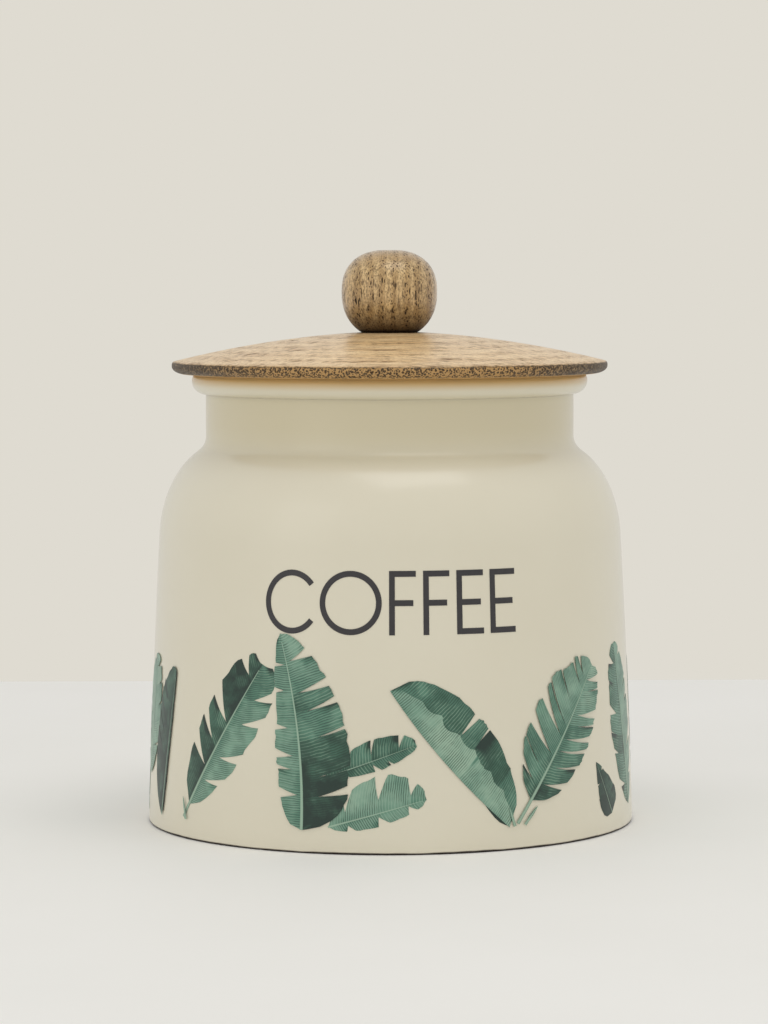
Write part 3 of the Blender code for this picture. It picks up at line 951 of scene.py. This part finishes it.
def half_blade(board, take, side):
    """One side of a leaf: lobes that leave the midrib, some torn apart along the veins."""
    lobes = take["Lobes"]
    width, foot_tone, tip_tone = board.parts(take["Right Half" if side > 0 else "Left Half"])
    rows = BLADE_ROWS + 1
    grid, column, row = grid_places(board, rows, lobes * (LOBE_COLUMNS + 1))
    out = row / BLADE_ROWS
    lobe = (column / (LOBE_COLUMNS + 1)).floor()
    part = (column - lobe * (LOBE_COLUMNS + 1)) / LOBE_COLUMNS

    def chance(number, salt):
        inputs = {"ID": number + (salt * 31 + 7 * (side + 1)), "Seed": take["Seed"]}
        return board.node("FunctionNodeRandomValue", {"data_type": "FLOAT"}, inputs, 1)

    def tear_start(boundary):
        whole = 1 - (chance(boundary, 1) < take["Torn"])
        return take["Start"] + chance(boundary, 2) * 0.4 + whole * 9

    def tear_width(boundary):
        opening = (out - tear_start(boundary)).at_least(0.0)
        return opening * take["Tear"] * (0.3 + chance(boundary, 3) * 0.7)

    def wandering(boundary):
        inner = (boundary > -0.5) * (boundary < lobes - 1.5)
        return (chance(boundary, 8) - 0.5) * 0.75 * inner

    lower, upper = lobe - 1, lobe
    place = lobe + part
    place = place + wandering(lower) * (1 - part) + wandering(upper) * part
    place = place + tear_width(lower) * (1 - part) - tear_width(upper) * part
    share = (place / lobes).at_least(0.0).at_most(1.0)
    swell = (share ** take["Belly"] * math.pi).sine().at_least(0.0) ** take["Fullness"]
    nibbled = board.noise(board.vector(place * 1.7, take["Seed"] * 3.1, side), 1.0, 3.0, 0.7)
    ripples = abs((place * math.pi).sine()) * take["Ripple"]
    edge = 1 - (nibbled - 0.35) * 0.3 * out - ripples * out - chance(lobe, 4) * 0.08
    reach = out * width * swell * edge
    sweep = take["Slant"] * (0.6 + share * 0.5) * (0.6 + out * 0.4)
    sag = (chance(lobe, 5) - 0.5) * 0.16 * out
    blade = moved(board, grid, leaf_spot(board, take, share, reach * side, reach * (sweep + sag)))
    curled = (chance(lobe, 9) > 0.55) * (1 - part).eased(0.35, 0.0) * out.eased(0.4, 0.85)
    blade = stored(
        board,
        blade,
        lobe=lobe,
        across=out * side,
        vein=place / lobes * take["Length"],
        tone=foot_tone + (tip_tone - foot_tone) * share + (chance(lobe, 6) - 0.5) * 0.24,
        curl=curled,
    )
    between = named(board, "lobe")
    boundary = between.floor()
    split = (between - boundary > 0.25) * (abs(named(board, "across")) > tear_start(boundary))
    blade = without(board, blade, split)
    return without(board, blade, width < 0.01 * MM)


def without(board, geometry, faces):
    inputs = {"Geometry": geometry, "Selection": faces}
    return board.node("GeometryNodeDeleteGeometry", {"domain": "FACE"}, inputs)


def midrib(board, take):
    """A tapering rib from the stem's foot to just short of the tip."""
    grid, column, row = grid_places(board, 3, RIB_ROWS + 1)
    stem = take["Stem"] / take["Length"]
    share = column / RIB_ROWS * (0.96 + stem) - stem
    width = take["Rib"] * ((1 - share).at_least(0.0) * 0.8 + 0.2)
    place = leaf_spot(board, take, share, (row - 1) * width, 0.0)
    tone = board.parts(take["Left Half"])[1]
    rib = stored(board, moved(board, grid, place), tone=tone, across=row - 1, rib=1.0)
    return without(board, rib, take["Rib"] < 0.01 * MM)


def leaf_tree():
    kinds = {label: kind for label, (kind, _, _) in LEAF_NUMBERS.items()}
    vectors = dict.fromkeys(("Foot", "Left Half", "Right Half"), "Vector")
    board, take = new_tree("printed leaf", {**kinds, **vectors, "Material": "Material"})
    left = board.node("GeometryNodeFlipFaces", None, {"Mesh": half_blade(board, take, -1)})
    blades = merged(board, joined(board, half_blade(board, take, 1), left), 0.004 * MM)
    inputs = {"Geometry": midrib(board, take), "Translation": RIB_LIFT}
    rib = board.node("GeometryNodeTransform", None, inputs)
    film = joined(board, wrapped(board, blades), wrapped(board, rib))
    return close_tree(board, film, take["Material"])


def leaf(name, at, lean, length, left, right, seed, layer=0, **others):
    """A printed leaf's name and its tree's inputs.

    at is its foot's place in mm, along the wall from the front and up. A half is its width in mm
    and its tones at the foot and the tip, and a leaf in a higher layer stands in front.
    """
    given = {"lean": lean, "length": length, "seed": seed, **others}
    inputs = {"Foot": (at[0] * MM, FILM_LIFT + layer * LAYER, at[1] * MM)}
    for label, (width, *tones) in (("Left Half", left), ("Right Half", right)):
        inputs[label] = (width * MM, *map(float, tones))
    for label, (kind, unit, usual) in LEAF_NUMBERS.items():
        value = given.get(label.lower(), usual) * unit
        inputs[label] = value if kind == "Int" else float(value)
    return name, inputs


def stalk(name, at, lean, length, width, tone):
    """A bare stalk, drawn as a leaf with one narrow lobe."""
    left, right = ((half, tone, tone) for half in width)
    return leaf(name, at, lean, length, left, right, 1, lobes=1, layer=4)


FRONT_LEAVES = (
    leaf("leaf_far_left", (-90, 14), 11, 33, (8, 0.2, 0.1), (8, 0.3, 0.15), 3, torn=0.7, layer=2),
    leaf(
        "leaf_left_slim", (-76, 4.6), 11, 39.5, (9.5, 0.92, 0.85), (1, 0.95, 0.9), 5,
        lobes=8, torn=0.7, tear=0.2, start=0.3, slant=1.1, belly=0.65, rib=0.2, layer=3,
    ),
    leaf(
        "leaf_left_open", (-60.5, 9.5), 34, 46, (9.5, 0.75, 0.95), (9.5, 0.3, 0.6), 8,
        lobes=5, torn=0.95, tear=0.34, start=0.02, slant=0.75, belly=0.95, fullness=0.42,
        stem=4.5,
    ),
    leaf(
        "leaf_tall", (-23, 6), 2, 49.5, (7, 0.45, 0.3), (14.5, 1.05, 0.25), 12,
        lobes=7, torn=1, tear=0.28, start=0.1, slant=0.2, bend=-0.17, belly=0.62, layer=2,
    ),
    leaf(
        "leaf_reaching", (-17, 19.5), 70, 25, (5.4, 0.85, 0.5), (3, 0.75, 0.6), 21,
        lobes=4, torn=0.9, tear=0.2, start=0.1, belly=1.1, layer=1, rib=0.15,
    ),
    leaf(
        "leaf_fan", (-16, 7), 74, 26, (10, 0.3, 0.3), (3.6, 0.4, 0.3), 14,
        lobes=4, torn=1, tear=0.5, start=0.02, slant=0.45, belly=0.9, rib=0.25,
    ),
    leaf(
        "leaf_folded", (31, 6), -49, 47, (0, 0, 0), (16, 0.72, 0.66), 31,
        lobes=5, torn=0.5, tear=0.22, start=0.45, slant=0.1, bend=0.14, belly=1.0,
        fullness=0.42, rib=0, layer=1,
    ),
    leaf(
        "leaf_folded_flap", (31, 6), -49, 47, (0, 0, 0), (8.5, 0.1, 0.2), 32,
        lobes=7, torn=0, slant=0.1, bend=0.14, belly=0.8, fullness=0.45, ripple=0.14,
        rib=0, layer=2,
    ),
    leaf(
        "leaf_folded_shadow", (30.5, 6.5), -27, 22, (3.5, 1, 0.95), (2.5, 1, 0.9), 33,
        lobes=2, torn=1, tear=0.3, slant=0.6, rib=0,
    ),
    leaf(
        "leaf_split", (37.5, 12.5), 36, 41, (13, 0.7, 0.15), (11, 0.8, 0.15), 17,
        lobes=9, torn=1, tear=0.34, start=0.0, slant=0.7, belly=0.72, stem=7, layer=3,
    ),
    leaf(
        "leaf_small_dark", (71, 5.5), -30, 16.5, (4.6, 0.95, 0.9), (5.5, 0.95, 0.9), 9,
        lobes=3, torn=0.4, tear=0.2, slant=0.3, belly=0.45, fullness=0.9, rib=0.12,
    ),
    leaf("leaf_far_right", (86, 6), -13, 45, (9, 0.7, 0.6), (9, 0.35, 0.3), 26, torn=0.8),
    stalk("leaf_stalk_left", (-61.5, 5.3), -14, 6, (0.4, 0.3), 0.5),
    stalk("leaf_stalk_middle", (32.5, 6.2), -18, 5, (0.4, 0.4), 0.6),
    stalk("leaf_stalk_right", (35.5, 6.4), 42, 6, (0.5, 0.4), 0.5),
)


def back_leaves():
    """The border carried on round the back, in an easy repeat of leans, lengths and tones."""
    first, pitch, count = 102, 25, 9
    for number in range(count):
        second, third, other = number % 2, number % 3, number * 2 % 3
        side = 1 if second else -1
        shade = 0.3 + 0.2 * third
        at = (first + pitch * number - side * 6, 7 + second * 3)
        left = (8 + 2 * third, shade + 0.2, shade)
        right = (9 + 1.5 * other, shade, shade - 0.15)
        yield leaf(
            f"leaf_back_{number + 1}", at, side * (14 + 9 * third), 38 + 6 * other, left, right,
            40 + number, second, lobes=6 + third, torn=0.8, stem=4,
        )


# --- Lettering: plain capitals of one even stroke ---

LETTER_HEIGHT = 16.3 * MM
LETTER_FOOT = 55.9 * MM
STROKE = 1.5 * MM
LETTER_CELL = 0.8 * MM
ROUND_STEPS = 72
C_OPENING = 38  # degrees either way
LETTERS = (("C", 15.4), ("O", 16.4), ("F", 7.0), ("F", 7.0), ("E", 7.4), ("E", 7.4))
LETTER_SPACE = 1.9 * MM
OPEN_ADVANCE = 0.88  # the share of an open letter's width before the next one's space


def split(edges):
    """Cuts the stretches between edges into cells no wider than a letter's cell."""
    places = []
    for low, high in zip(edges, edges[1:]):
        count = max(1, math.ceil((high - low) / LETTER_CELL))
        places += [low + (high - low) * step / count for step in range(count)]
    return places + [edges[-1]]


def barred_letter(shape, left, width, bars):
    """An upright stroke with bars to its right, each given as (foot, width)."""
    across = split([left, left + STROKE, left + width * 0.9, left + width])
    feet = sorted(foot for foot, _ in bars)
    up = split(sorted({0.0, LETTER_HEIGHT, *feet, *(foot + STROKE for foot in feet)}))
    corners = {}

    def at(i, j):
        if (i, j) not in corners:
            corners[i, j] = shape.verts.new((across[i], FILM_LIFT, LETTER_FOOT + up[j]))
        return corners[i, j]

    for i in range(len(across) - 1):
        for j in range(len(up) - 1):
            x, z = (across[i] + across[i + 1]) / 2 - left, (up[j] + up[j + 1]) / 2
            barred = any(foot < z < foot + STROKE and x < reach for foot, reach in bars)
            if x < STROKE or barred:
                shape.faces.new((at(i, j), at(i + 1, j), at(i + 1, j + 1), at(i, j + 1)))


def round_letter(shape, left, width, opening):
    """An oval stroke, open to the right by so many degrees either way."""
    middle = (left + width / 2, LETTER_FOOT + LETTER_HEIGHT / 2)
    outer = (width / 2, LETTER_HEIGHT / 2)
    inner = (outer[0] - STROKE, outer[1] - STROKE)
    closed = opening == 0
    rings = []
    for step in range(ROUND_STEPS if closed else ROUND_STEPS + 1):
        angle = math.radians(opening + (360 - 2 * opening) * step / ROUND_STEPS)
        ring = []
        for share in (0.0, 0.5, 1.0):
            reach = [low + (high - low) * share for low, high in zip(inner, outer)]
            x = middle[0] + reach[0] * math.cos(angle)
            ring.append(shape.verts.new((x, FILM_LIFT, middle[1] + reach[1] * math.sin(angle))))
        rings.append(ring)
    for here, there in zip(rings, rings[1:] + rings[:1] if closed else rings[1:]):
        for low, high in ((0, 1), (1, 2)):
            shape.faces.new((here[low], here[high], there[high], there[low]))


def letter_advance(letter, width):
    """How far the next letter starts from this one's left side."""
    return width * MM * (OPEN_ADVANCE if letter == "C" else 1) + LETTER_SPACE


def letter_mesh():
    shape = bmesh.new()
    left = (LETTER_SPACE - sum(letter_advance(*pair) for pair in LETTERS)) / 2
    middle_bar = (LETTER_HEIGHT - STROKE) / 2
    for letter, width_mm in LETTERS:
        width = width_mm * MM
        bars = [(LETTER_HEIGHT - STROKE, width), (middle_bar, width * 0.86)]
        if letter == "E":
            bars.append((0.0, width))
        if letter in "EF":
            barred_letter(shape, left, width, bars)
        else:
            round_letter(shape, left, width, C_OPENING if letter == "C" else 0)
        left += letter_advance(letter, width_mm)
    mesh = bpy.data.meshes.new("lettering")
    bmesh.ops.recalc_face_normals(shape, faces=shape.faces)
    shape.to_mesh(mesh)
    shape.free()
    return mesh


# --- Stage, light and camera ---

CAMERA_PLACE = (-1.43 * MM, -980 * MM, 149 * MM)
CAMERA_PITCH = 3.855  # degrees below level
CAMERA_ROLL = 0.15  # degrees
CAMERA_LENS = 127.85  # mm, on a 36 mm sensor
TABLE_BACK = 326 * MM
TABLE_FRONT = -2.4
TABLE_WIDTH = 4.0
TABLE_THICKNESS = 0.04
EVEN_LIGHT = linear(255, 254, 250)
EVEN_STRENGTH = 0.71
BACKDROP = linear(223, 219, 209)
LAMP_TINT = (1.0, 0.99, 0.97)
LAMP_AIM = Vector((0, 0, 70 * MM))


def make_camera():
    camera = bpy.data.objects.new("camera", bpy.data.cameras.new("camera"))
    camera.data.lens = CAMERA_LENS
    camera.data.clip_start = 10 * MM
    camera.location = CAMERA_PLACE
    camera.rotation_euler = (math.radians(90 - CAMERA_PITCH), math.radians(CAMERA_ROLL), 0)
    bpy.context.scene.collection.objects.link(camera)
    bpy.context.scene.camera = camera


def make_table():
    """A pale slab whose top is the plane that the tin stands on."""
    shape = bmesh.new()
    bmesh.ops.create_cube(shape, size=1.0)
    for vertex in shape.verts:
        vertex.co.x *= TABLE_WIDTH
        vertex.co.y = TABLE_BACK if vertex.co.y > 0 else TABLE_FRONT
        vertex.co.z = 0.0 if vertex.co.z > 0 else -TABLE_THICKNESS
    mesh = bpy.data.meshes.new("table")
    shape.to_mesh(mesh)
    shape.free()
    table = bpy.data.objects.new("table", mesh)
    bpy.context.scene.collection.objects.link(table)
    table.data.materials.append(table_finish())


def make_light(name, place, size, power):
    lamp = bpy.data.lights.new(name, "AREA")
    lamp.shape = "RECTANGLE"
    lamp.size, lamp.size_y = size
    lamp.energy = power
    lamp.color = LAMP_TINT
    light = bpy.data.objects.new(name, lamp)
    light.location = place
    light.rotation_euler = (LAMP_AIM - light.location).to_track_quat("-Z", "Y").to_euler()
    bpy.context.scene.collection.objects.link(light)


def make_surroundings():
    """A soft studio: even pale light, two large lamps and a plain cream backdrop."""
    world = bpy.data.worlds.new("studio")
    world.use_nodes = True
    nodes = world.node_tree.nodes
    nodes.clear()
    board = Board(world.node_tree)
    inputs = {"Color": EVEN_LIGHT, "Strength": EVEN_STRENGTH}
    even = board.node("ShaderNodeBackground", None, inputs)
    backdrop = board.node("ShaderNodeBackground", None, {"Color": BACKDROP, "Strength": 1.0})
    seen = board.node("ShaderNodeLightPath", None, None, "Is Camera Ray")
    shown = board.node("ShaderNodeMixShader", None, {0: seen, 1: even, 2: backdrop})
    board.tree.links.new(shown.socket, nodes.new("ShaderNodeOutputWorld").inputs[0])
    bpy.context.scene.world = world
    bpy.context.scene.view_settings.view_transform = "Standard"
    make_light("overhead", (0.15, -0.3, 1.1), (0.7, 0.55), 2.2)
    make_light("front left", (-0.9, -0.9, 0.5), (0.7, 0.9), 0.9)


# --- Assembly ---


def settle(piece, body, slot, *nodes):
    """Puts a finished piece on its body, in place of the CAD's nodes. Its slot is not used."""
    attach(piece, body)
    if nodes:
        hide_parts(*nodes)


def make_tin(tree):
    cream = enamel()
    body = turned("enamelled_body", tree, shell_section(), cream)
    settle(body, "tin", "enamelled_steel", "body_shell")
    base = turned("pressed_base", tree, pan_section(), cream)
    settle(base, "tin", "enamelled_steel", "base_pan")


def make_lid(tree):
    lid_wood = wood("lid wood", X, Z, 1.3 * MM, LID_PALETTE, 8 * MM, 0.4, rim_stains_and_light)
    plug_wood = wood("plug wood", Y, X, 5 * MM, LID_PALETTE, 9 * MM, 0.25, no_stains)
    knob_wood = wood("knob wood", Z, X, 3.4 * MM, KNOB_PALETTE, 2.4 * MM, 1.0, foot_darkening_and_shade)
    steel = zinc()
    cover = turned("domed_lid", tree, cover_section(), lid_wood, 192, 0.1 * MM)
    settle(cover, "lid", "lid_wood", "lid_cover")
    plug = turned("lid_inner_disc", tree, plug_section(), plug_wood, 128, 0.0, (1, 0, 0))
    settle(plug, "lid", "lid_wood", "lid_plug")
    seal = turned("seal_ring", tree, seal_section(), silicone(), 160)
    settle(seal, "seal", "seal", "lid_seal")
    knob = turned("ball_knob", tree, knob_section(), knob_wood, 96, 0.1 * MM, (0, 0, 1))
    settle(knob, "lid", "knob_wood", "knob")
    washer = turned("screw_washer", tree, washer_section(), steel, 48)
    settle(washer, "lid", "fastener_steel", "knob_washer")
    thread = (0.5 * MM, 1.6 * MM, THREAD_START, screw_high.z - 0.4 * MM)
    uncut = turned("lid_screw", tree, screw_section(), steel, 40, thread=thread)
    start = uncut.data
    bpy.data.objects.remove(uncut)
    inputs = {"Face": screw_low.z, "Material": steel}
    screw = grown("lid_screw", recess_tree(), start, inputs)
    settle(screw, "lid", "fastener_steel", "knob_screw")


def make_prints():
    leaf_green = leaf_ink()
    tree = leaf_tree()
    for name, inputs in (*FRONT_LEAVES, *back_leaves()):
        start = bpy.data.meshes.new(name)
        piece = grown(name, tree, start, inputs | {"Material": leaf_green})
        settle(piece, "tin", "enamelled_steel")
    word = grown("lettering", print_tree(), letter_mesh(), {"Material": letter_ink()})
    settle(word, "tin", "enamelled_steel")


make_camera()
make_surroundings()
make_table()
turning = turned_tree()
make_tin(turning)
make_lid(turning)
make_prints()
